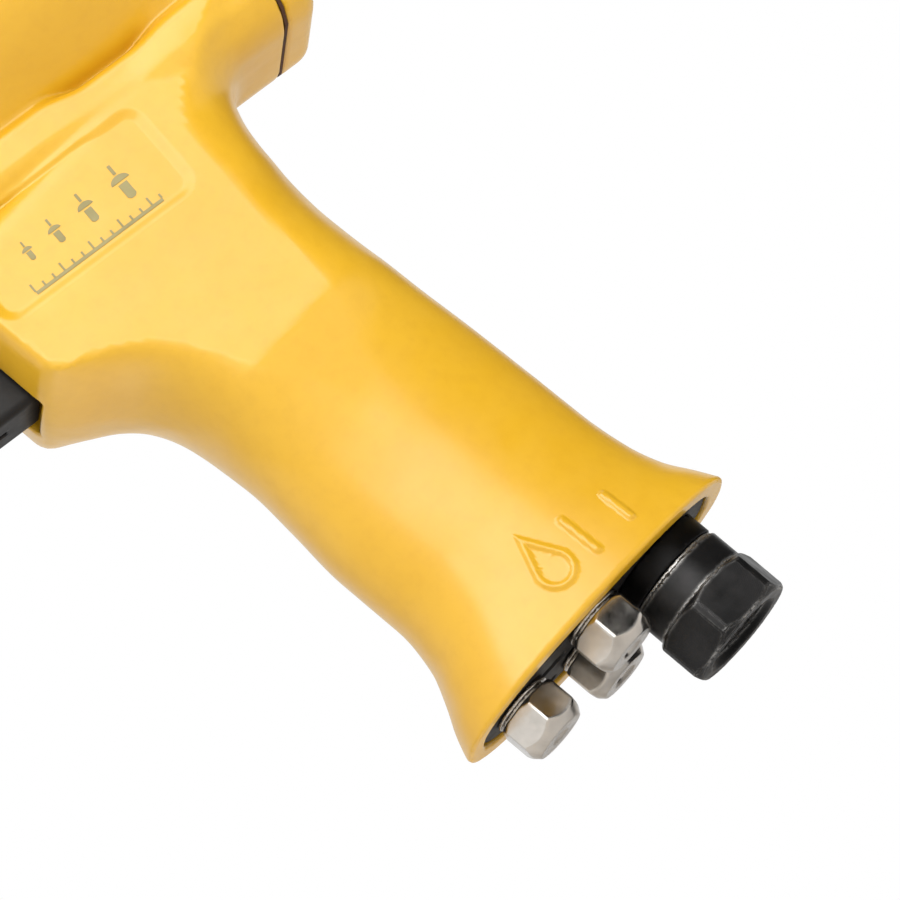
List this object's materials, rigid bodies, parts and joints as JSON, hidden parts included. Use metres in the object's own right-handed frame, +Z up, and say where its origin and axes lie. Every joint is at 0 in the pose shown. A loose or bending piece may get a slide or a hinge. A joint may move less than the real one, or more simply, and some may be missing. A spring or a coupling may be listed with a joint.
{
  "type": "pneumatic blind rivet gun",
  "caption": "Compressed-air pistol-grip blind riveter: tandem-piston barrel, hollow pull rod, gripping jaws, sliding trigger, swivel air inlet and spare nosepieces stored in the foot.",
  "frame": {"origin": "centre of the fitted nosepiece's front face, on the barrel axis", "axes": "+X along the barrel towards the rear cap, +Z up, the grip pointing down"},
  "size_m": [0.2556, 0.072, 0.2038],
  "materials": {
    "yellow_paint": "glossy powder coat",
    "gasket": "brown fibre gasket",
    "black_plastic": "satin moulded",
    "smoke_plastic": "satin moulded",
    "black_oxide": "black-oxide steel, oiled",
    "nickel": "nickel-plated, turned",
    "steel": "ground steel",
    "aluminium": "machined",
    "rubber": "nitrile",
    "brass": "turned",
    "felt": "pressed felt",
    "spring_steel": "drawn wire"
  },
  "bodies": {
    "frame": {"main_housing": "yellow_paint", "rear_cap": "yellow_paint", "rear_cap_gasket": "gasket", "rear_cap_screws": "black_oxide", "rear_bush": "brass", "cylinder_liner_1": "aluminium", "cylinder_liner_2": "aluminium", "cylinder_liner_3": "aluminium", "divider_plate_1": "aluminium", "divider_plate_2": "aluminium", "divider_seals": "rubber", "rod_seal": "rubber", "return_spring": "spring_steel", "nose_sleeve": "black_oxide", "nose_locknut": "black_oxide", "valve_guide": "brass", "valve_sleeve": "brass", "valve_spring": "spring_steel", "base_plate": "black_oxide", "silencer_pad": "felt", "inlet_bushing": "black_oxide", "inlet_seal": "rubber", "inlet_filter": "brass"},
    "nosepiece": {"fitted_nosepiece": "nickel"},
    "collector": {"mandrel_collector": "smoke_plastic"},
    "pull_rod": {"pull_rod": "steel", "piston_1": "aluminium", "piston_2": "aluminium", "piston_3": "aluminium", "piston_seals": "rubber", "rod_spacers": "steel", "piston_nut": "steel", "jaw_case": "steel", "jaw_spring": "spring_steel"},
    "jaw_a": {"jaw_1": "black_oxide"},
    "jaw_b": {"jaw_2": "black_oxide"},
    "jaw_c": {"jaw_3": "black_oxide"},
    "pusher": {"jaw_pusher": "steel"},
    "trigger": {"trigger": "black_plastic", "trigger_pin": "steel", "valve_stem": "steel", "stem_seal": "rubber"},
    "inlet": {"inlet_connector": "black_oxide", "inlet_retaining_ring": "spring_steel"},
    "spare_a": {"spare_nosepiece_1": "nickel"},
    "spare_b": {"spare_nosepiece_2": "nickel"},
    "spare_c": {"spare_nosepiece_3": "nickel"}
  },
  "joints": [
    {"name": "trigger_pull", "type": "slide", "parent": "frame", "child": "trigger", "axis": [1, 0, 0], "range_m": [0, 0.005], "stiffness_N_per_m": 600, "springref_m": -0.002, "deforming": ["valve_spring"]},
    {"name": "piston_stroke", "type": "slide", "parent": "frame", "child": "pull_rod", "axis": [1, 0, 0], "range_m": [0, 0.016], "stiffness_N_per_m": 2000, "springref_m": -0.004, "deforming": ["return_spring"]},
    {"name": "pusher_slide", "type": "slide", "parent": "pull_rod", "child": "pusher", "axis": [-1, 0, 0], "range_m": [0, 0.00155], "deforming": ["jaw_spring"]},
    {"name": "inlet_swivel", "type": "hinge", "parent": "frame", "child": "inlet", "pos_m": [0.19624, 0, -0.14659], "axis": [0.1616, 0, -0.9869], "continuous": true},
    {"name": "collector_removal", "type": "slide", "parent": "frame", "child": "collector", "axis": [1, 0, 0], "range_m": [0, 0.045]},
    {"name": "nosepiece_removal", "type": "slide", "parent": "frame", "child": "nosepiece", "axis": [-1, 0, 0], "range_m": [0, 0.025]},
    {"name": "jaw_a_grip", "type": "slide", "parent": "pull_rod", "child": "jaw_a", "axis": [-0.9659, 0, -0.2588], "range_m": [0, 0.0016]},
    {"name": "jaw_b_grip", "type": "slide", "parent": "pull_rod", "child": "jaw_b", "axis": [-0.9659, 0.2241, 0.1294], "range_m": [0, 0.0016]},
    {"name": "jaw_c_grip", "type": "slide", "parent": "pull_rod", "child": "jaw_c", "axis": [-0.9659, -0.2241, 0.1294], "range_m": [0, 0.0016]},
    {"name": "spare_a_removal", "type": "slide", "parent": "frame", "child": "spare_a", "axis": [0.1616, 0, -0.9869], "range_m": [0, 0.012]},
    {"name": "spare_b_removal", "type": "slide", "parent": "frame", "child": "spare_b", "axis": [0.1616, 0, -0.9869], "range_m": [0, 0.012]},
    {"name": "spare_c_removal", "type": "slide", "parent": "frame", "child": "spare_c", "axis": [0.1616, 0, -0.9869], "range_m": [0, 0.012]}
  ],
  "couplings": [
    {"joint": "jaw_a_grip", "follows": "piston_stroke", "ratio": 0.1},
    {"joint": "jaw_b_grip", "follows": "piston_stroke", "ratio": 0.1},
    {"joint": "jaw_c_grip", "follows": "piston_stroke", "ratio": 0.1},
    {"joint": "pusher_slide", "follows": "piston_stroke", "ratio": 0.096593}
  ]
}
